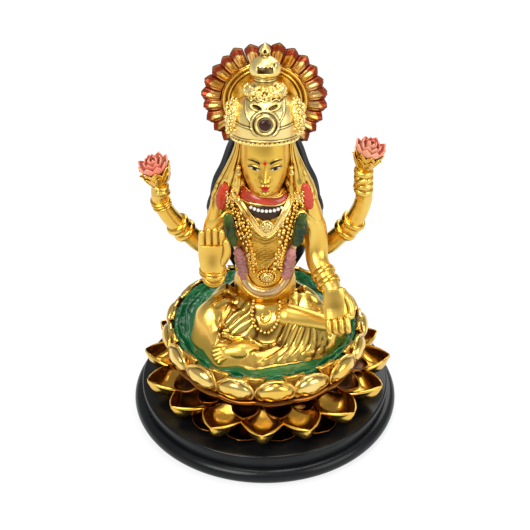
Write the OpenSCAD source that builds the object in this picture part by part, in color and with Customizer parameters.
// Seated four-armed deity statue on a double lotus, on a turned plinth.
// Millimetres, +Z up, the figure faces -Y. The origin is the centre of the underside.

/* [Plinth] */
// Diameter over the lower torus moulding
plinth_d = 95; // [92:0.5:110]
// Height of the plinth's top face above the floor
plinth_h = 11.2; // [9:0.1:16]
// Diameter of the plinth's flat top
plinth_top_d = 89; // [86.5:0.5:91]
// Height of the lower torus moulding
torus_h = 5.6; // [4.5:0.1:6.4]
// Diameter of the felt disc
felt_d = 84; // [60:1:86]
// Thickness of the felt disc
felt_t = 1.2; // [1:0.1:2]
// Depth of the felt's recess in the plinth
felt_recess = 0.7; // [0.3:0.1:0.9]
// Shank diameter of the fixing screws
screw_d = 3; // [2.5:0.1:4]
// Length of the fixing screws
screw_len = 17; // [13:0.5:20]
// Distance between the two fixing screws
screw_pitch = 34; // [20:1:40]

/* [Lotus] */
// Height of the lotus from the plinth to the seat's top
lotus_h = 22.8; // [21:0.1:26]
// Number of petals in each ring
petal_count = 16; // [14:1:18]
// Radius at the tips of the lower petals
lower_tip_r = 43.7; // [41.5:0.1:44]
// Height of the lower petal tips above the plinth
lower_tip_z = 9.4; // [8:0.1:10]
// Radius at the valleys between the lower petals
lower_valley_r = 33.8; // [33:0.1:35.5]
// Radius over the small sepals below the lower petals
sepal_r = 37.6; // [36.5:0.1:39]
// Depth of the hollow in a lower petal
lower_cup = 2.4; // [1.5:0.1:3]
// Direction of one lower petal, degrees from +X
lower_turn = 267; // [240:1:290]
// Direction of one upper pad, degrees from +X
upper_turn = 275.5; // [240:0.5:290]
// Reach of the upper pads beyond the green seat
pad_out = 4.6; // [3.6:0.1:6]
// Reach of the valleys between the upper pads beyond the green seat
pad_valley_out = 1.8; // [1.4:0.1:2.6]
// Height of the upper pads
pad_h = 9.2; // [8.6:0.1:9.8]
// Height of the pads' foot above the plinth
pad_z = 15.4; // [14.4:0.1:15.8]
// Rise of the small back petals over the pads
back_petal_h = 1.2; // [0.8:0.1:2]
// Radius of the green seat
seat_r = 32.6; // [31.5:0.1:32.8]
// Thickness of the green seat
seat_t = 2.6; // [2:0.1:3.5]
// Diameter of the centre dowel
centre_pin_d = 6; // [4:0.1:8]

/* [Legs] */
// Height of the waist joint above the seat
waist_z = 16.2; // [15.6:0.1:17]
// Radius of a thigh
thigh_r = 6.8; // [6:0.1:7.4]
// Radius of a shin
shin_r = 5.2; // [4.6:0.1:5.8]
// Reach of the right knee from the middle
knee_right_x = 18.4; // [17:0.1:19]
// Reach of the left knee from the middle
knee_left_x = 22.6; // [21:0.1:23]
// Spread of the skirt's hem beyond the limbs
hem_spread = 1; // [0.5:0.1:1.6]
// Depth of the sari's pleats
pleat_depth = 0.5; // [0:0.1:0.8]

/* [Torso] */
// Height from the waist joint to the neck joint
torso_h = 43; // [42:0.1:45]
// Width at the hips
hip_w = 21.5; // [21:0.1:23.5]
// Width at the waist
waist_w = 19.2; // [18:0.1:21]
// Width at the chest
chest_w = 26; // [25:0.1:27.5]
// Width of the neck joint
neck_w = 10.6; // [10:0.1:11.6]
// How far the bust stands forward
bust_h = 1.8; // [1:0.1:2.4]
// Diameter of the waist dowel
waist_pin_d = 5; // [4:0.1:6]
// Diameter of the shoulder dowels
arm_pin_d = 2.4; // [2:0.1:2.8]
// Diameter of the neck dowel
neck_pin_d = 4; // [3:0.1:5]

/* [Arms] */
// Drop of the front shoulder joint below the neck joint
shoulder_drop = 10.9; // [10.4:0.1:11.6]
// Radius of a front upper arm
front_arm_r = 3.9; // [3.6:0.05:4.1]
// Radius of a rear upper arm
rear_arm_r = 3.3; // [3:0.05:3.4]
// Thickness of a bangle's wire
bangle_t = 1.1; // [0.8:0.05:1.4]
// Half width of an open hand
palm_w = 5.6; // [5:0.1:6]

/* [Head] */
// Height from the neck joint to the crown's seat
head_h = 20.2; // [19.6:0.1:21.6]
// Width of the head
head_w = 16.4; // [15.8:0.1:17]
// Backward tilt of the crown, degrees
crown_tilt = 15; // [12:0.5:16]
// Radius of the crown's band
crown_r = 10.9; // [10.6:0.1:11.2]
// Height of the crown
crown_h = 31.4; // [30:0.1:33]
// Number of beads round the crown's lower edge
crown_bead_count = 30; // [20:1:34]
// Diameter of the round stone in the crown
jewel_d = 4; // [3:0.1:4.6]

/* [Halo] */
// Outer radius of the halo
halo_r = 20.9; // [20:0.1:21.8]
// Radius of the halo's flat plate
halo_plate_r = 14.6; // [14:0.1:15.2]
// Thickness of the halo's plate
halo_t = 2; // [1.6:0.1:2.6]
// Height of the halo's centre above the crown's seat
halo_rise = 5.7; // [4.6:0.1:6]
// Number of scallops on the rim
scallop_count = 26; // [22:1:28]

/* [Flowers] */
// Radius of a held flower's gold cup
flower_r = 5.6; // [5.2:0.1:6]
// Height of a held flower's gold cup
flower_cup_h = 5.6; // [5:0.1:6]
// Height of the pink blossom over the cup's floor
blossom_h = 9; // [8.4:0.1:10]
// Outward lean of a held flower, degrees
flower_lean = 15; // [0:1:18]
// Number of petals in a held flower
flower_petals = 8; // [7:1:9]

/* [Ornaments] */
// Diameter of the white pearls
pearl_d = 1.5; // [1.2:0.05:1.7]
// Diameter of the gold chain beads
bead_d = 1.3; // [1:0.05:1.5]
// Thickness of the bands that lie on the body
band_t = 0.9; // [0.6:0.05:1.2]
// Thickness of the flower garland
garland_t = 1.5; // [1:0.05:1.9]

/* [Fits] */
// Clearance of an ornament over the body it lies on
lay_clear = 0.25; // [0.2:0.01:0.35]
// Clearance of a dowel or screw in its bore, on the radius
bore_clear = 0.08; // [0.05:0.01:0.15]
// Clearance between nested pieces
nest_clear = 0.2; // [0.15:0.01:0.3]

/* [Hidden] */
$fn = 48;
GOLD = "#d9a62e";
PALE_GOLD = "#e6c05a";
BLACK = "#17181a";

// Stack of heights, all above the floor
plinth_z0 = felt_t - felt_recess;
seat_z = plinth_h + lotus_h;
neck_z = waist_z + torso_h;
crown_z = neck_z + head_h;
shoulder_z = neck_z - shoulder_drop;
torso_y = 1.5;
head_y = -2;
crown_y = head_y + 0.5;

// Small helpers
function unit(v) = v / norm(v);
function clamp01(t) = min(1, max(0, t));
function mix(a, b, t) = a + (b - a) * t;
function hump(x, w) = exp(-(x / w) * (x / w));

// Smooth curve through rows [key, value, value ...] at a key
function row_before(rows, k) = max([0, for (i = [0 : len(rows) - 2]) if (k >= rows[i][0]) i]);
function at_key(rows, k) =
    let (i = row_before(rows, k), p1 = rows[i], p2 = rows[i + 1])
    let (p0 = i > 0 ? rows[i - 1] : 2 * p1 - p2)
    let (p3 = i < len(rows) - 2 ? rows[i + 2] : 2 * p2 - p1)
    let (t = clamp01((k - p1[0]) / (p2[0] - p1[0])))
    0.5 * (2 * p1 + (p2 - p0) * t + (2 * p0 - 5 * p1 + 4 * p2 - p3) * t * t
        + (3 * p1 - p0 - 3 * p2 + p3) * t * t * t);

// Closed skin over a stack of rings, each ring counter-clockwise round the stack's direction
module loft(rings) {
    n = len(rings[0]);
    m = len(rings);
    function mid(r) = [for (k = [0 : 2]) [for (p = r) p[k]] * [for (p = r) 1] / len(r)];
    points = [for (r = rings) each r, mid(rings[0]), mid(rings[m - 1])];
    sides = [for (i = [0 : m - 2], j = [0 : n - 1])
        let (a = i * n + j, b = i * n + (j + 1) % n, c = b + n, d = a + n)
        each [[a, d, c], [a, c, b]]];
    first = [for (j = [0 : n - 1]) [m * n, j, (j + 1) % n]];
    last = [for (j = [0 : n - 1]) [m * n + 1, (m - 1) * n + (j + 1) % n, (m - 1) * n + j]];
    polyhedron(points, concat(sides, first, last));
}

// Closed skin of a ring: profiles [radius, height] at steps round the Z axis
module ring_loft(profiles) {
    n = len(profiles[0]);
    m = len(profiles);
    points = [for (i = [0 : m - 1], p = profiles[i])
        let (q = 360 * i / m) [p[0] * cos(q), p[0] * sin(q), p[1]]];
    faces = [for (i = [0 : m - 1], j = [0 : n - 1])
        let (a = i * n + j, b = i * n + (j + 1) % n)
        let (d = (i + 1) % m * n + j, c = (i + 1) % m * n + (j + 1) % n)
        each [[a, d, c], [a, c, b]]];
    polyhedron(points, faces);
}

// Place across one petal at step i: 0 on its middle, 1 at the valley
function across(i, steps) = abs(2 * (i % steps) / steps - 1);

// Cylinder from a point along a direction
module rod(from, dir, d, h) {
    translate(from)
        rotate([0, acos(dir[2] / norm(dir)), atan2(dir[1], dir[0])])
            cylinder(d = d, h = h);
}

module figure_frame() {
    translate([0, 0, seat_z]) children();
}

module crown_frame() {
    translate([0, crown_y, seat_z + crown_z]) rotate([-crown_tilt, 0, 0]) children();
}

// Base

module base_felt() {
    color("#2c2f2c") cylinder(d = felt_d, h = felt_t, $fn = 96);
}

screw_head_d = 2 * screw_d;
screw_head_h = screw_d * 0.6;

module screw_places() {
    for (side = [-1, 1]) translate([side * screw_pitch / 2, 0, felt_t]) children();
}

module screw_solid(gap) {
    cylinder(d = screw_d + 2 * gap, h = screw_len + gap, $fn = 24);
    cylinder(d1 = screw_head_d + 2 * gap, d2 = screw_d + 2 * gap, h = screw_head_h, $fn = 24);
}

module fixing_screws() {
    color("#8d9094") screw_places() screw_solid(0);
}

module plinth() {
    torus_r = torus_h / 2;
    neck_groove = 0.9;
    foot_edge = 0.6;
    edge = 0.8;
    top_r = plinth_top_d / 2;
    mid_z = plinth_z0 + torus_r;
    wall_z = plinth_z0 + torus_h + neck_groove / 2;
    color(BLACK) difference() {
        rotate_extrude($fn = 128) {
            translate([0, plinth_z0]) square([top_r - edge, plinth_h - plinth_z0]);
            translate([0, plinth_z0]) square([plinth_d / 2 - torus_r, torus_h]);
            translate([0, plinth_z0]) square([plinth_d / 2 - foot_edge, torus_r]);
            translate([plinth_d / 2 - torus_r, mid_z]) circle(torus_r, $fn = 32);
            translate([0, wall_z]) square([top_r, plinth_h - edge - wall_z]);
            translate([top_r - edge, plinth_h - edge]) circle(edge, $fn = 24);
        }
        translate([0, 0, plinth_z0 - 1])
            cylinder(d = felt_d + 2 * nest_clear, h = felt_recess + 1, $fn = 96);
        screw_places() screw_solid(bore_clear);
    }
}

// Lotus, heights above the plinth

core_foot_r = 30;
core_waist_r = 26.6;
core_top_r = 30;
core_waist_z = 7.5;
core_seat_z = lotus_h - seat_t;

module lotus_frame() {
    translate([0, 0, plinth_h]) children();
}

module lotus_core() {
    color("#5a3a12") difference() {
        lotus_frame() rotate_extrude($fn = 96)
            polygon([[0, 0], [core_foot_r, 0], [core_foot_r, 1], [core_waist_r, core_waist_z],
                [core_waist_r, core_waist_z + 3], [core_top_r, core_waist_z + 6],
                [core_top_r, core_seat_z], [0, core_seat_z]]);
        screw_places() screw_solid(bore_clear);
        centre_bore();
    }
}

lower_steps = 6;
lower_inner_r = core_foot_r + nest_clear;
lower_root_z = core_waist_z + 2.4;
petal_drop = 2.6;

// Section of the lower ring: concave top from root to tip, bellied underside, then the sepal
function lower_profile(v) =
    let (tip = mix(lower_tip_r, lower_valley_r, pow(v, 1.7)))
    let (tip_z = lower_tip_z - petal_drop * v)
    let (hollow = lower_cup * (1 - v * v), reach = tip - lower_inner_r)
    let (sepal = mix(lower_valley_r, sepal_r, v))
    [[lower_inner_r, lower_root_z],
        [lower_inner_r + 0.35 * reach, mix(lower_root_z, tip_z, 0.35) - 0.8 * hollow],
        [lower_inner_r + 0.72 * reach, mix(lower_root_z, tip_z, 0.72) - hollow],
        [lower_inner_r + 0.93 * reach, tip_z - 0.25 * hollow],
        [tip, tip_z],
        [lower_inner_r + 0.8 * reach, tip_z - 1.6],
        [lower_inner_r + 0.4 * reach, 2.9],
        [sepal, 0.8],
        [lower_inner_r, 0.05]];

module lower_petals() {
    m = petal_count * lower_steps;
    color(GOLD) lotus_frame() rotate([0, 0, lower_turn + 180 / petal_count])
        ring_loft([for (i = [0 : m - 1]) lower_profile(across(i, lower_steps))]);
}

upper_steps = 6;
upper_inner_r = core_top_r + nest_clear;
pad_r = seat_r + pad_out;
pad_valley_r = seat_r + pad_valley_out;

// Section of the upper ring: back petal crest, then the swollen pad down to its tucked foot
function upper_profile(v) =
    let (swell = sqrt(max(0, 1 - v * v)))
    let (out = mix(pad_valley_r, pad_r, swell))
    let (top = pad_z + pad_h, crest = top + back_petal_h * v)
    [[seat_r + nest_clear, core_seat_z - nest_clear],
        [seat_r + nest_clear + 0.4, crest],
        [seat_r + nest_clear + 0.9, crest - 0.1],
        [pad_valley_r - 0.6, top - 1.3],
        [out - 1.1, top - 1.2 * v],
        [out, pad_z + 0.62 * pad_h],
        [out - 0.8, pad_z + 0.3 * pad_h],
        [upper_inner_r + 1.4, pad_z],
        [upper_inner_r, pad_z + 0.4],
        [upper_inner_r, core_seat_z - 2 * nest_clear]];

module upper_petals() {
    m = petal_count * upper_steps;
    color(GOLD) lotus_frame() rotate([0, 0, upper_turn + 180 / petal_count])
        ring_loft([for (i = [0 : m - 1]) upper_profile(across(i, upper_steps))]);
}

module seat_pad() {
    rim = 0.8;
    lip = 0.9;
    color("#1f7a4d") difference() {
        translate([0, 0, seat_z - seat_t]) rotate_extrude($fn = 96) {
            square([seat_r - rim, seat_t]);
            square([seat_r, seat_t - rim]);
            translate([seat_r - rim, seat_t - rim]) circle(rim, $fn = 24);
            translate([seat_r - lip, seat_t]) circle(lip, $fn = 24);
        }
        centre_bore();
    }
}

centre_pin_y = -3;
centre_pin_up = 6.5;
centre_pin_down = 8;

module centre_pin() {
    color("#8d9094") translate([0, centre_pin_y, seat_z - centre_pin_down])
        cylinder(d = centre_pin_d, h = centre_pin_down + centre_pin_up);
}

module centre_bore() {
    translate([0, centre_pin_y, seat_z - centre_pin_down - bore_clear])
        cylinder(d = centre_pin_d + 2 * bore_clear,
            h = centre_pin_down + centre_pin_up + 2 * bore_clear);
}

// Legs: ridges [start, end, start radius, end radius] that a cloth lies over

hip_x = 7.5;
hip_z = 9.2;
ankle = [9, -9.8, 10.6];
toe = [21, -11.4, 8.6];
left_ankle = [-5, -18, 2.8];
left_toe = [-14.4, -19.2, 2.4];
knee_right = [-knee_right_x, -6.6, 7.6];
knee_left = [knee_left_x, -7, 5];
ridges = [
    [[-hip_x, 3, hip_z], knee_right, thigh_r, thigh_r],
    [[hip_x, 3, hip_z], knee_left, thigh_r, thigh_r - 1],
    [knee_right, ankle, shin_r, 4.2],
    [ankle, toe, 4.2, 3.2],
    [knee_left, left_ankle, shin_r, shin_r - 0.4],
    [left_ankle, left_toe, 3.9, 3.1],
    [left_toe, knee_right, 3.4, shin_r],
    [[-8, 6, 5], [8, 6, 5], 7, 7]];
leg_mid = [2, -7];
drape = 1.25;

function along(r, p) =
    let (a = [r[0][0], r[0][1]], b = [r[1][0], r[1][1]])
    clamp01(((p - a) * (b - a)) / ((b - a) * (b - a)));
function ridge_top(r, p) =
    let (t = along(r, p), c = mix(r[0], r[1], t), w = mix(r[2], r[3], t))
    let (d = norm(p - [c[0], c[1]]))
    c[2] + w - d * d / (drape * w);
function reach_of(r, q) = max([0, for (k = [0 : 6])
    let (c = mix(r[0], r[1], k / 6), w = mix(r[2], r[3], k / 6) + hem_spread)
    let (p = [c[0], c[1]] - leg_mid, u = p * [cos(q), sin(q)], s = p * [-sin(q), cos(q)])
    if (abs(s) < w) u + sqrt(w * w - s * s)]);
function leg_reach(q) = max([for (r = ridges) reach_of(r, q)]);

// Height of the cloth: the ridges blended, flat under the torso, pleated in front
torso_foot = [hip_w / 2 + 1.2, 11.4];
function under_torso(p) =
    norm([p[0] / torso_foot[0], (p[1] - torso_y) / torso_foot[1]]);
function cloth_z(p) =
    let (soft = 0.9)
    let (h = ln([for (r = ridges) exp(soft * ridge_top(r, p))] * [for (r = ridges) 1]) / soft)
    let (pleats = pleat_depth * cos(40 * (p[0] + 0.5 * p[1])) * hump(p[1] + 20, 5))
    let (u = under_torso(p))
    u < 1.12 ? waist_z : max(1, u < 1.3 ? mix(waist_z, h, (u - 1.12) / 0.18) : h + pleats);

leg_sides = 44;
leg_rings = 11;

module legs() {
    function spot(j, k) = let (q = 360 * j / leg_sides)
        leg_mid + leg_reach(q) * k * [cos(q), sin(q)];
    shares = [for (k = [leg_rings : -1 : 1]) pow(k / leg_rings, 0.9)];
    foot = [for (j = [0 : leg_sides - 1]) let (p = spot(j, 1)) [p[0], p[1], 0]];
    top = [for (k = shares) [for (j = [0 : leg_sides - 1])
        let (p = spot(j, k == 1 ? 0.995 : k)) [p[0], p[1], k == 1 ? 1 : cloth_z(p)]]];
    color(PALE_GOLD) difference() {
        figure_frame() loft(concat([foot], top));
        centre_bore();
        waist_bore();
    }
}

waist_pin_half = 5.4;

module waist_pin() {
    color("#8d9094") translate([0, torso_y, seat_z + waist_z - waist_pin_half])
        cylinder(d = waist_pin_d, h = 2 * waist_pin_half);
}

module waist_bore() {
    translate([0, torso_y, seat_z + waist_z - waist_pin_half - bore_clear])
        cylinder(d = waist_pin_d + 2 * bore_clear, h = 2 * (waist_pin_half + bore_clear));
}

// Torso: rows [share of the height, half width, front depth, back depth]

torso_rows = [
    [0, hip_w / 2, 9.4, 7.2],
    [0.08, hip_w / 2, 10.8, 7.2],
    [0.22, waist_w / 2, 10, 7],
    [0.38, waist_w / 2 + 1, 9.6, 7],
    [0.52, chest_w / 2 - 0.7, 10.2, 7.2],
    [0.63, chest_w / 2, 10.4, 7.3],
    [0.75, chest_w / 2 - 0.2, 9.8, 7],
    [0.85, chest_w / 2 - 1, 8.8, 6.4],
    [0.93, neck_w / 2 + 4.2, 7.6, 5.6],
    [1, neck_w / 2 + 1.6, 6, 5]];
bust_x = 5.4;
bust_share = 0.56;

function torso_row(z) = at_key(torso_rows, clamp01((z - waist_z) / torso_h));
function bust(x, z) = bust_h * hump(abs(x) - bust_x, 3.6)
    * hump(z - waist_z - bust_share * torso_h, 4.6);

// Front of the torso as a depth over (x, z), and a point off it along its normal
function chest_y(x, z) = let (r = torso_row(z))
    torso_y - r[2] * sqrt(max(0.02, 1 - pow(x / r[1], 2))) - bust(x, z);
function chest(x, z, off) =
    let (e = 0.1)
    let (fx = (chest_y(x + e, z) - chest_y(x - e, z)) / (2 * e))
    let (fz = (chest_y(x, z + e) - chest_y(x, z - e)) / (2 * e))
    [x, chest_y(x, z), z] + off * unit([fx, -1, fz]);

torso_sides = 28;
torso_levels = 16;

function torso_ring(z) = let (r = torso_row(z))
    [for (j = [0 : torso_sides - 1]) let (q = 360 * j / torso_sides, x = r[1] * cos(q))
        [x, torso_y + (q <= 180 ? r[3] * sin(q) : r[2] * sin(q) - bust(x, z) * -sin(q)), z]];

module torso() {
    rings = [for (i = [0 : torso_levels]) torso_ring(waist_z + torso_h * i / torso_levels)];
    color(GOLD) difference() {
        figure_frame() loft(rings);
        waist_bore();
        neck_bore();
        for (arm = arm_seats) {
            figure_frame() rod(arm[0], arm[1], 2 * (arm[2] + seat_margin), 12);
            arm_bore(arm);
        }
    }
}

// Arms: seats [place, outward direction, radius] in the order of the arm nodes

front_x = chest_w / 2 - 1.4;
front_y = -1.4;
rear_x = 8.4;
rear_y = 6;
rear_drop = 11.3;
arm_seats = [
    [[-front_x, front_y, shoulder_z], [-1, 0, 0], front_arm_r],
    [[front_x, front_y, shoulder_z], [1, 0, 0], front_arm_r],
    [[-rear_x, rear_y, shoulder_z - rear_drop], [-1, 0, 0], rear_arm_r],
    [[rear_x, rear_y, shoulder_z - rear_drop], [1, 0, 0], rear_arm_r]];
arm_pin_half = 3.2;
seat_margin = 1.8;

module arm_pin(arm, gap) {
    half = arm_pin_half + gap;
    figure_frame() rod(arm[0] - half * arm[1], arm[1], arm_pin_d + 2 * gap, 2 * half);
}

module arm_bore(arm) {
    arm_pin(arm, bore_clear);
}

module arm_pins() {
    color("#8d9094") for (arm = arm_seats) arm_pin(arm, 0);
}

// Route of an arm from its seat, outward x: [step, x, y, z, half width, half depth, groove]
fa = front_arm_r;
raised_route = [
    [0, 0, 0, 0, fa, fa, 0],
    [1, 2.6, 0, 0, fa, fa, 0],
    [2, 5, 0, -3, fa, fa, 0],
    [3, 5.9, 0, -9, fa - 0.1, fa - 0.1, 0],
    [4, 6.2, -0.9, -14.6, fa - 0.2, fa - 0.2, 0],
    [5, 6.4, -4, -18.8, fa - 0.3, fa - 0.3, 0],
    [6, 6.4, -8.6, -19.2, fa - 0.4, fa - 0.4, 0],
    [7, 6, -12.2, -16.6, fa - 0.7, fa - 0.7, 0],
    [8, 5.6, -15.2, -13.8, fa - 0.9, fa - 0.9, 0],
    [9, 5.5, -17.4, -10.4, palm_w - 1.5, 2.7, 0],
    [10, 5.4, -18.4, -6.2, palm_w - 0.2, 2.5, 0],
    [11, 5.4, -19, -1.8, palm_w, 2.3, 0.2],
    [12, 5.4, -19.5, 2.2, palm_w - 0.1, 2, 0.8],
    [13, 5.4, -20, 6.2, palm_w - 0.4, 1.7, 0.8],
    [14, 5.4, -20.3, 8.6, palm_w - 0.9, 1, 0.8]];
lowered_route = [
    [0, 0, 0, 0, fa, fa, 0],
    [1, 2.6, 0, 0, fa, fa, 0],
    [2, 5, -0.1, -3, fa, fa, 0],
    [3, 5.9, -0.9, -8.6, fa, fa, 0],
    [4, 6, -2.4, -13, fa, fa, 0],
    [5, 6.6, -5.2, -16.2, fa - 0.1, fa - 0.1, 0],
    [6, 8.8, -9.2, -18.6, fa - 0.2, fa - 0.2, 0],
    [7, 11, -13.4, -21, fa - 0.5, fa - 0.5, 0],
    [8, 12.3, -16.2, -23, fa - 0.8, fa - 0.8, 0],
    [9, 12.9, -17.9, -25.2, palm_w - 1.4, 2.7, 0],
    [10, 13.4, -19.2, -27.8, palm_w - 0.5, 2.5, 0],
    [11, 13.6, -20.2, -30.2, palm_w - 0.5, 2.3, 0.3],
    [12, 13.7, -20.8, -32.4, palm_w - 0.7, 2.1, 0.8],
    [13, 13.8, -20.8, -34, palm_w - 1.2, 1.4, 0.8]];
ra = rear_arm_r;
fist_r = ra + 0.3;
rear_right_route = [
    [0, 0, 0, 0, ra, ra, 0],
    [1, 2.6, 0, 0, ra, ra, 0],
    [2, 7.6, 0, -3.6, ra, ra, 0],
    [3, 13, -0.9, -5, ra, ra, 0],
    [4, 17.4, -2, -0.4, ra, ra, 0],
    [5, 21, -3.2, 4.2, ra, ra, 0],
    [6, 24.2, -4.4, 9.4, ra - 0.2, ra - 0.2, 0],
    [7, 26.4, -5.4, 14.4, ra - 0.3, ra - 0.3, 0],
    [8, 27.1, -6.1, 17.6, ra - 0.4, ra - 0.4, 0],
    [9, 27, -6.6, 19.8, fist_r - 0.4, fist_r - 0.4, 0],
    [10, 26.6, -8, 25, fist_r - 0.4, fist_r - 0.4, 0]];
rear_left_route = [
    [0, 0, 0, 0, ra, ra, 0],
    [1, 2.6, 0, 0, ra, ra, 0],
    [2, 7.6, 0, -4, ra, ra, 0],
    [3, 12.4, -0.8, -5.8, ra, ra, 0],
    [4, 16.8, -1.8, -1.1, ra, ra, 0],
    [5, 21.4, -3, 5.2, ra, ra, 0],
    [6, 23.9, -4.2, 11.9, ra - 0.2, ra - 0.2, 0],
    [7, 24.7, -5, 15.6, ra - 0.3, ra - 0.3, 0],
    [8, 25, -5.6, 18, ra - 0.4, ra - 0.4, 0],
    [9, 24.8, -6, 20, fist_r - 0.4, fist_r - 0.4, 0],
    [10, 24.4, -8, 31.5, fist_r - 0.4, fist_r - 0.4, 0]];

// A place on an arm, its direction and its section's side vector
function arm_at(seat, side, route, k) = let (r = at_key(route, k))
    seat + [side * r[1], r[2], r[3]];
function arm_dir(seat, side, route, k) = k < 0.1 ? [side, 0, 0]
    : unit(arm_at(seat, side, route, k + 0.05) - arm_at(seat, side, route, k - 0.05));
function arm_side(dir, k) = let (want = mix([0, 1, 0], [1, 0, 0], clamp01(k / 4)))
    unit(want - (want * dir) * dir);

// Half section stations, with a notch between fingers at every second one
stations = [1, 0.8, 0.52, 0.26, 0, -0.26, -0.52, -0.8, -1];
function notch(s) = abs(s) == 0.52 || s == 0 ? 1 : 0;
function arm_ring(seat, side, route, k, swell) =
    let (r = at_key(route, k), dir = arm_dir(seat, side, route, k))
    let (u = arm_side(dir, k), v = cross(dir, u), c = arm_at(seat, side, route, k))
    let (flat = clamp01(r[4] - r[5]))
    let (half = [for (s = stations)
        pow(max(0, 1 - pow(abs(s), mix(2, 3, flat))), 0.5) * (1 - 0.4 * r[6] * notch(s))])
    let (a = r[4] + swell, b = r[5] + swell)
    [for (i = [0 : 8]) c + a * stations[i] * u + b * half[i] * v,
        for (i = [7 : -1 : 1]) c + a * stations[i] * u - b * half[i] * v];

// Rings of a whole arm; a fist is closed fingers stacked along its last stretch
function arm_rings(seat, side, route, fist) =
    let (last = len(route) - 1, smooth_end = fist ? last - 1 : last)
    let (keys = [each [0 : 0.5 : 5.5], each [6 : 1 : smooth_end]])
    let (fist_keys = fist ? [for (i = [1 : 8]) smooth_end + i / 8] : [])
    [for (k = keys) arm_ring(seat, side, route, max(0.02, k), 0),
        for (i = [0 : len(fist_keys) - 1])
            arm_ring(seat, side, route, fist_keys[i] - (i == 7 ? 0.02 : 0), i % 2 == 0 ? 0.5 : 0)];

module arm(index, route, fist) {
    seat = arm_seats[index];
    side = seat[1][0];
    color(GOLD) difference() {
        figure_frame() loft(arm_rings(seat[0], side, route, fist));
        arm_bore(seat);
        if (fist) flower_stem(index, route, bore_clear);
    }
}

module arm_front_right() {
    arm(0, raised_route, false);
}

module arm_front_left() {
    arm(1, lowered_route, false);
}

module arm_rear_right() {
    arm(2, rear_right_route, true);
}

module arm_rear_left() {
    arm(3, rear_left_route, true);
}

// A ring of half round wire round an arm at a step of its route
module arm_hoop(index, route, k, r, wire) {
    seat = arm_seats[index];
    side = seat[1][0];
    dir = arm_dir(seat[0], side, route, k);
    figure_frame() translate(arm_at(seat[0], side, route, k))
        rotate([0, acos(dir[2]), atan2(dir[1], dir[0])])
            rotate_extrude() translate([r + lay_clear + wire / 2, 0]) circle(d = wire, $fn = 16);
}

wrist_k = 7.6;
wrist_step = 0.5;
rear_wrist_k = 7.2;

module bangles() {
    front_r = fa - 0.72;
    rear_r = ra - 0.3;
    color(PALE_GOLD) for (i = [0, 1]) {
        arm_hoop(0, raised_route, wrist_k + i * wrist_step, front_r, bangle_t);
        arm_hoop(1, lowered_route, wrist_k - i * wrist_step, front_r + 0.1, bangle_t);
        arm_hoop(2, rear_right_route, rear_wrist_k + i * wrist_step, rear_r, bangle_t);
    }
}

armlet_k = 4.7;
armlet_step = 0.42;

module armlets() {
    color(PALE_GOLD) for (i = [0 : 1]) {
        arm_hoop(2, rear_right_route, armlet_k + armlet_step * i, ra, bangle_t);
        arm_hoop(3, rear_left_route, armlet_k + armlet_step * i, ra, bangle_t);
    }
}

// Held flowers stand on the closed fists

stem_d = 2;
stem_h = 4;
flower_steps = 4;
cup_wall = 0.7;
cup_floor = 1.2;

module on_fist(index, route) {
    seat = arm_seats[index];
    end = len(route) - 1;
    figure_frame() translate(arm_at(seat[0], seat[1][0], route, end))
        rotate([0, seat[1][0] * flower_lean, 0]) children();
}

module flower_stem(index, route, gap) {
    on_fist(index, route) translate([0, 0, -stem_h - gap])
        cylinder(d = stem_d + 2 * gap, h = stem_h + cup_base_z + cup_floor, $fn = 24);
}

cup_base_z = 0.9;
function cup_r(t) = mix(1.7, flower_r, pow(t, 0.6));
function cup_profile(v) =
    let (tip_r = flower_r - 0.7 * v, tip_h = flower_cup_h - 1.7 * v * v)
    [[0.6, cup_floor], [cup_r(0.25) - cup_wall - 0.3, cup_floor + 0.2],
        [cup_r(0.6) - cup_wall, 0.6 * tip_h], [tip_r, tip_h],
        [cup_r(0.5), 0.42 * tip_h - 0.3], [1.9, 0], [0.6, 0]];

module flower_cup(index, route) {
    m = flower_petals * flower_steps;
    color(GOLD) {
        on_fist(index, route) translate([0, 0, cup_base_z])
            ring_loft([for (i = [0 : m - 1]) cup_profile(across(i, flower_steps))]);
        flower_stem(index, route, 0);
    }
}

module flower_cup_right() {
    flower_cup(2, rear_right_route);
}

module flower_cup_left() {
    flower_cup(3, rear_left_route);
}

// Pink petals: a bud ring that fills the cup and opens over its rim
function blossom_profile(v) =
    let (open = flower_r - 0.5 - 0.9 * v, top = blossom_h - 1.4 * v)
    [[0.4, 0.7 * top], [0.45 * open, 0.86 * top], [0.8 * open, top], [open, flower_cup_h + 0.8],
        [cup_r(0.6) - cup_wall - 0.6, 0.62 * flower_cup_h],
        [1.2, cup_floor + 0.4], [0.4, cup_floor + 0.3]];

module blossom(index, route) {
    m = flower_petals * flower_steps;
    color("#e8685a") on_fist(index, route) translate([0, 0, cup_base_z])
        ring_loft([for (i = [0 : m - 1]) blossom_profile(across(i, flower_steps))]);
}

module blossom_right() {
    blossom(2, rear_right_route);
}

module blossom_left() {
    blossom(3, rear_left_route);
}

// Head: rows [share of the height, half width, front, back, taper to the front]

head_rows = [
    [0, neck_w / 2, 4, 5.2, 0],
    [0.06, neck_w / 2 - 0.1, 4.6, 5, 0.1],
    [0.13, neck_w / 2 + 0.4, 7.4, 5.3, 0.4],
    [0.22, head_w / 2 - 1.9, 8.5, 6, 0.36],
    [0.36, head_w / 2 - 0.8, 8.6, 6.7, 0.2],
    [0.6, head_w / 2, 8.5, 7.2, 0.06],
    [0.84, head_w / 2 - 0.1, 8.4, 7.2, 0],
    [1, head_w / 2 - 0.3, 8, 7.1, 0],
    [1.2, head_w / 2 - 0.8, 7.4, 7, 0]];
head_top = 1.2;
head_sides = 24;
head_levels = 18;
nose_share = 0.44;
eye_share = 0.63;
eye_x = 3.3;

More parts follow.
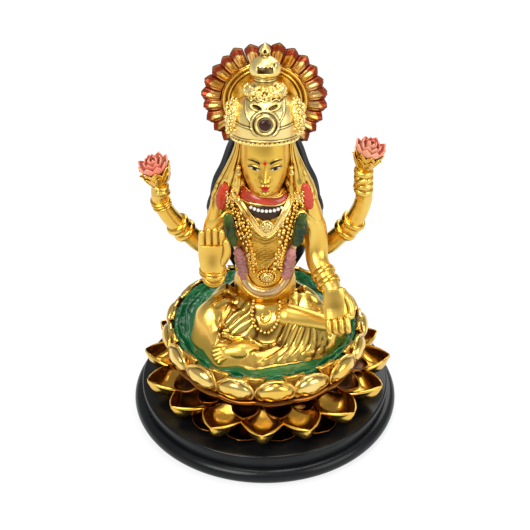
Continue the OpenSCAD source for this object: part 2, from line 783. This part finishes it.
// Nose bridge down to its tip, and shallow sockets beside it
function face(x, s) = 1.4 * hump(x, 1.3) * hump(s - nose_share, s > nose_share ? 0.16 : 0.06)
    - 0.35 * hump(abs(x) - eye_x, 1.5) * hump(s - eye_share, 0.07);

// Stations round the head lie closer together on the face
function head_angle(j) = let (q = 360 * j / head_sides) q - 30 * cos(q);
function head_ring(s) = let (r = at_key(head_rows, s))
    [for (j = [0 : head_sides - 1]) let (q = head_angle(j), front = max(0, -sin(q)))
        let (x = r[1] * cos(q) * (1 - r[4] * front * front))
        [x, head_y + (sin(q) > 0 ? r[3] : r[2]) * sin(q) - (front > 0 ? face(x, s) : 0),
            neck_z + s * head_h]];

boss_r = 6.6;
boss_h = 3;

module head() {
    color(GOLD) difference() {
        union() {
            difference() {
                figure_frame()
                    loft([for (i = [0 : head_levels]) head_ring(head_top * i / head_levels)]);
                crown_frame() translate([-20, -20, 0]) cube([40, 40, 20]);
            }
            crown_frame() translate([0, 0, -2]) cylinder(r = boss_r, h = 2 + boss_h);
        }
        neck_bore();
    }
}

neck_pin_half = 5;
neck_pin_y = -1;

module neck_pin() {
    color("#8d9094") translate([0, neck_pin_y, seat_z + neck_z - neck_pin_half])
        cylinder(d = neck_pin_d, h = 2 * neck_pin_half);
}

module neck_bore() {
    translate([0, neck_pin_y, seat_z + neck_z - neck_pin_half - bore_clear])
        cylinder(d = neck_pin_d + 2 * bore_clear, h = 2 * (neck_pin_half + bore_clear));
}

// Hair: rows [share from the back's foot to the crown, half width, back, thickness, wrap]

hair_low = waist_z + 0.4;
hair_rows = [
    [0, 11, 15.4, 3, 0.6],
    [0.1, 14, 15.6, 4.6, 1],
    [0.26, 15, 15, 5, 1],
    [0.36, 17.4, 14.6, 4.6, 1.4],
    [0.42, 19.8, 14.4, 4.2, 3],
    [0.48, 20.4, 14.2, 4.2, 4.4],
    [0.6, 19, 13.2, 4, 5],
    [0.73, 16.4, 11.6, 4, 4.8],
    [0.83, 14, 10.6, 4, 4.4],
    [0.92, 11.8, 10.2, 4.2, 4],
    [1, 11, 9.8, 4, 4]];
hair_half = 7;
hair_levels = 14;

function hair_ring(s) =
    let (r = at_key(hair_rows, s), z = mix(hair_low, crown_z - 4.2, s))
    let (edge = 0.7)
    [for (i = [-hair_half : hair_half]) let (u = -i / hair_half)
        [r[1] * u, r[2] - r[4] * u * u, z],
    for (i = [-hair_half + 1 : hair_half - 1]) let (u = i / hair_half)
        [r[1] * u * 0.98, r[2] - r[4] * u * u - edge - (r[3] - edge) * sqrt(1 - u * u), z]];

module hair() {
    color(BLACK) figure_frame()
        loft([for (i = [0 : hair_levels]) hair_ring(i / hair_levels)]);
}

// Veil: two leaves of cloth from under the crown to the shoulders: [share, x, half width, half depth]
veil_rows = [
    [0, 15.6, 3, 2.8],
    [0.1, 14.6, 3.3, 2.9],
    [0.2, 13.7, 3.5, 3],
    [0.36, 12.7, 3.1, 3],
    [0.6, 11.4, 2.4, 2.7],
    [0.84, 10.4, 1.7, 2.4],
    [1, 9.8, 1.2, 2]];
veil_y = 0.2;
veil_low = shoulder_z + front_arm_r + nest_clear;
veil_high = crown_z - 1.6;
veil_sides = 10;
veil_levels = 8;

function veil_ring(s, side) =
    let (r = at_key(veil_rows, s), z = mix(veil_low, veil_high, s))
    [for (j = [0 : veil_sides - 1]) let (q = 360 * j / veil_sides)
        [side * r[1] + r[2] * cos(q), veil_y + r[3] * sin(q), z]];

module veil() {
    color(PALE_GOLD) figure_frame() for (side = [-1, 1])
        loft([for (i = [0 : veil_levels]) veil_ring(i / veil_levels, side)]);
}

earring_x = head_w / 2 + 0.5;
earring_share = 0.42;

module earrings() {
    drop = [[0, 3.6], [0.7, 3.4], [0.8, 2.7], [0.45, 2.2], [0.9, 1.3], [1.05, 0.5], [0.7, 0], [0, 0]];
    color(PALE_GOLD) figure_frame() for (side = [-1, 1])
        translate([side * earring_x, head_y - 1.4, neck_z + earring_share * head_h - 1.8])
            rotate_extrude($fn = 24) polygon(drop);
}

// Crown, in its own tilted frame from the band's lower edge

cs = crown_h / 31.4;
crown_profile = [[0, 0], [crown_r, 0], [crown_r + 0.4, 5.8 * cs], [crown_r, 9.2 * cs],
    [crown_r - 1.8, 12.3 * cs], [7.1, 14 * cs], [6.4, 14.5 * cs], [6.9, 15.3 * cs],
    [6.5, 17 * cs], [5.2, 18.2 * cs], [3.8, 19 * cs], [3.6, 20.3 * cs], [3.8, 20.9 * cs],
    [4.8, 21.3 * cs], [5.2, 22.2 * cs], [5.1, 23.9 * cs], [4.3, 25.6 * cs], [2.7, 26.8 * cs],
    [1.5, 27.2 * cs], [1.3, 27.8 * cs], [1.9, 28.7 * cs], [1.5, 29.9 * cs], [0, crown_h]];
medal_z = 7.2 * cs;
medal_y = -(crown_r + 0.2);
medal_ring_r = jewel_d / 2 + 0.9;
rosette_r = 1.7;

module crown() {
    color(PALE_GOLD) difference() {
        crown_frame() difference() {
            union() {
                rotate_extrude($fn = 72) polygon(crown_profile);
                translate([0, medal_y, medal_z]) rotate([90, 0, 0]) {
                    rotate_extrude() translate([medal_ring_r, 0]) circle(0.6, $fn = 16);
                    translate([0, 0, -2]) cylinder(r = medal_ring_r, h = 2);
                }
                for (side = [-1, 1], i = [0 : 3])
                    translate([side * (crown_r - 0.35 * i), 0, (5.4 + 2.1 * i) * cs])
                        sphere(rosette_r, $fn = 24);
            }
            translate([0, 0, -1]) cylinder(r = boss_r + nest_clear, h = boss_h + nest_clear + 1);
            translate([0, medal_y, medal_z]) rotate([90, 0, 0])
                translate([0, 0, -0.8]) cylinder(d = jewel_d + 2 * bore_clear, h = 4, $fn = 32);
        }
        halo_place() translate([0, 0, -halo_hub_h])
            cylinder(d = halo_hub_d + 2 * nest_clear, h = 10, $fn = 32);
    }
}

module crown_jewel() {
    color("#5e1418") crown_frame() translate([0, medal_y, medal_z]) rotate([90, 0, 0])
        translate([0, 0, -0.8]) {
            cylinder(d = jewel_d, h = 1, $fn = 32);
            translate([0, 0, 1]) cylinder(d1 = jewel_d, d2 = jewel_d - 1.6, h = 0.7, $fn = 32);
        }
}

crown_bead_r = 0.75;

module crown_beads() {
    reach = crown_r + crown_bead_r + nest_clear;
    color(PALE_GOLD) crown_frame() for (i = [0 : crown_bead_count - 1])
        if (sin(360 * i / crown_bead_count) < 0.6)
            rotate([0, 0, 360 * i / crown_bead_count])
                translate([reach, 0, crown_bead_r + 0.1]) sphere(crown_bead_r, $fn = 16);
}

// Halo, upright behind the crown; its own frame looks along +Y

halo_hub_d = 7;
halo_hub_h = 1.4;
halo_y = crown_y + crown_r + 2.9;

module halo_place() {
    translate([0, halo_y, seat_z + crown_z + halo_rise]) rotate([-90, 0, 0]) children();
}

module halo_plate() {
    ring_a = halo_plate_r - 1;
    ring_b = halo_plate_r - 2.6;
    color(GOLD) halo_place() {
        cylinder(r = halo_plate_r, h = halo_t, $fn = 96);
        for (r = [ring_a, ring_b])
            rotate_extrude($fn = 96) translate([r, 0]) circle(0.6, $fn = 16);
        translate([0, 0, -halo_hub_h]) cylinder(d = halo_hub_d, h = halo_hub_h + 0.5, $fn = 32);
    }
}

rim_steps = 4;

function rim_profile(v) =
    let (inner = halo_plate_r + nest_clear, out = halo_r - 1.5 * v * v, wave = 0.9 * (v - 0.5))
    [[inner, halo_t], [out, halo_t - 0.2 + wave], [out, halo_t - 1.5 + wave],
        [mix(inner, out, 0.5), -0.5 + 1.3 * wave], [inner, 0]];

module halo_rim() {
    m = scallop_count * rim_steps;
    color("#b23a24") halo_place()
        ring_loft([for (i = [0 : m - 1]) rim_profile(across(i, rim_steps))]);
}

// Ornaments that lie on the front of the torso, along routes of [x, z]

// Band of a half width and thickness along a route, from clear of the surface outwards
module chest_band(route, half, thick) {
    n = len(route) - 1;
    function way(i) = unit(route[min(n, i + 1)] - route[max(0, i - 1)]);
    function spot(i, s, h) = let (w = way(i), p = route[i] + s * half * [-w[1], w[0]])
        chest(p[0], p[1], lay_clear + h);
    loft([for (i = [0 : n]) let (end = i == 0 || i == n ? 0.6 : 1)
        [spot(i, end, 0), spot(i, 0.75 * end, 0.8 * thick), spot(i, 0, thick),
            spot(i, -0.75 * end, 0.8 * thick), spot(i, -end, 0), spot(i, 0, 0)]]);
}

// Height at a share of the torso
function share_z(s) = waist_z + s * torso_h;

module blouse_collar() {
    n = 16;
    reach = neck_w * 0.62;
    route = [for (i = [0 : n]) let (t = 2 * i / n - 1) [t * reach, share_z(0.945 + 0.02 * t * t)]];
    color("#c8321f") figure_frame() chest_band(route, 1.1, band_t);
}

pearl_count = 8;

module pearl_necklace() {
    reach = neck_w * 0.54;
    color("#f3efe4") figure_frame() for (i = [0 : pearl_count - 1])
        let (t = 2 * i / (pearl_count - 1) - 1)
            translate(chest(t * reach, share_z(0.868 + 0.03 * t * t), lay_clear + pearl_d / 2))
                sphere(d = pearl_d, $fn = 24);
}

module v_collar() {
    n = 18;
    reach = neck_w * 0.72;
    route = [for (i = [0 : n]) let (t = 2 * i / n - 1)
        [t * reach, share_z(0.7 + 0.205 * pow(abs(t), 1.3))]];
    color(PALE_GOLD) figure_frame() chest_band(route, 0.8, band_t);
}

// A disc that stands on the chest at (x, z), square to it
module chest_disc(x, z, d, h, off) {
    from = chest(x, z, off);
    rod(from, chest(x, z, off + 1) - from, d, h);
}

pendant_d = 4.6;
pendant_share = 0.765;
belly_share = 0.274;

module collar_pendant() {
    z = share_z(pendant_share);
    off = 2 * lay_clear + band_t;
    color(PALE_GOLD) figure_frame() {
        chest_disc(0, z, pendant_d, 1, off);
        chest_disc(0, z, 0.6 * pendant_d, 1.5, off);
    }
}

// Points a pitch apart along a finely sampled route
function lengths(p, i = 1, sum = [0]) = i == len(p) ? sum
    : lengths(p, i + 1, concat(sum, [sum[i - 1] + norm(p[i] - p[i - 1])]));
function spaced(p, pitch) =
    let (l = lengths(p), n = floor(l[len(l) - 1] / pitch))
    [for (k = [0 : n]) let (s = k * pitch)
        let (i = max([for (j = [0 : len(l) - 2]) if (l[j] <= s) j]))
        mix(p[i], p[i + 1], (s - l[i]) / (l[i + 1] - l[i]))];

bead_pitch = bead_d * 1.12;
chain_samples = 40;

module bead_string(route) {
    for (p = spaced(route, bead_pitch)) translate(p) sphere(d = bead_d, $fn = 16);
}

// Both strands of the long chain, from the shoulders in to the belly pendant
module bead_chain() {
    color(GOLD) figure_frame() for (side = [-1, 1])
        bead_string([for (i = [0 : chain_samples])
            let (t = i / chain_samples, x = mix(3, neck_w * 0.88, pow(1 - t, 2.4)))
                chest(side * x, share_z(mix(0.87, belly_share + 0.05, t)), lay_clear + bead_d / 2)]);
}

module belly_pendant() {
    z = share_z(belly_share);
    color(PALE_GOLD) figure_frame() {
        chest_disc(0, z, 5.2, 1, lay_clear + 0.35);
        chest_disc(0, z, 3.4, 1.6, lay_clear + 0.35);
    }
}

lap_rise = 0.45;
lap_out = 0.5;

// Beads in a U over the lap
module lap_chain() {
    color(GOLD) figure_frame() bead_string([for (i = [0 : chain_samples])
        let (t = 2 * i / chain_samples - 1, p = [4.8 * t + 0.4, -15.2 + 4.6 * t * t])
            [p[0], p[1] - lap_out, cloth_z(p) + bead_d / 2 + lap_rise]]);
}

// Garland lengths: pads along a route of points outward x, swept with an oval section
garland_half = 1.8;
garland_sides = 8;

module garland(route) {
    n = 5;
    last = len(route) - 1;
    keyed = [for (i = [0 : last]) concat([i], route[i])];
    function spot(t) = let (r = at_key(keyed, t * last)) [r[1], r[2], r[3]];
    figure_frame() for (side = [-1, 1])
        loft([for (i = [0 : n]) let (t = i / n, c = spot(t), d = unit(spot(t + 0.01) - spot(t - 0.01)))
            let (u = unit([1, 0, 0] - d[0] * d), v = cross(d, u), w = i == 0 || i == n ? 0.5 : 1)
            [for (j = [0 : garland_sides - 1]) let (q = 360 * j / garland_sides * side)
                let (p = c + w * (garland_half * cos(q) * u + garland_t / 2 * sin(q) * v))
                [side * p[0], p[1], p[2]]]]);
}

// Place just off the front of the torso, and off the front of the arm and veil beside it
function off_chest(x, share) = chest(x, share_z(share), lay_clear + garland_t / 2 + 0.45);
off_arm_y = front_y - front_arm_r - lay_clear - garland_t / 2;
off_veil_y = veil_y - veil_rows[0][3] - lay_clear - garland_t / 2 - 0.4;

module garland_red() {
    color("#d23a26") garland([[14.6, off_veil_y, veil_low + 2], [14.3, off_veil_y, veil_low + 5],
        [13.7, off_veil_y, veil_low + 8]]);
}

module garland_green() {
    x = front_x - 0.2;
    color("#2f6b35") garland([[x - 1, off_arm_y - 0.7, share_z(0.616)],
        [x, off_arm_y - 0.3, share_z(0.7)], [x + 0.2, off_arm_y, share_z(0.812)]]);
}

module garland_pink() {
    color("#c97f86") garland([off_chest(waist_w * 0.36, 0.36), off_chest(waist_w * 0.39, 0.45),
        off_chest(waist_w * 0.42, 0.53)]);
}

module waist_sash() {
    n = 16;
    reach = waist_w * 0.43;
    route = [for (i = [0 : n]) let (t = 2 * i / n - 1)
        [t * reach, share_z(0.17 + 0.16 * pow(abs(t), 1.6))]];
    color("#d9b9a8") figure_frame() chest_band(route, 1.3, band_t);
}

base_felt();
plinth();
fixing_screws();
lotus_core();
lower_petals();
upper_petals();
seat_pad();
centre_pin();
legs();
waist_pin();
torso();
arm_front_right();
arm_front_left();
arm_rear_right();
arm_rear_left();
arm_pins();
head();
neck_pin();
hair();
veil();
earrings();
crown();
crown_jewel();
crown_beads();
halo_plate();
halo_rim();
flower_cup_right();
flower_cup_left();
blossom_right();
blossom_left();
bangles();
armlets();
blouse_collar();
pearl_necklace();
v_collar();
collar_pendant();
bead_chain();
belly_pendant();
lap_chain();
garland_red();
garland_green();
garland_pink();
waist_sash();
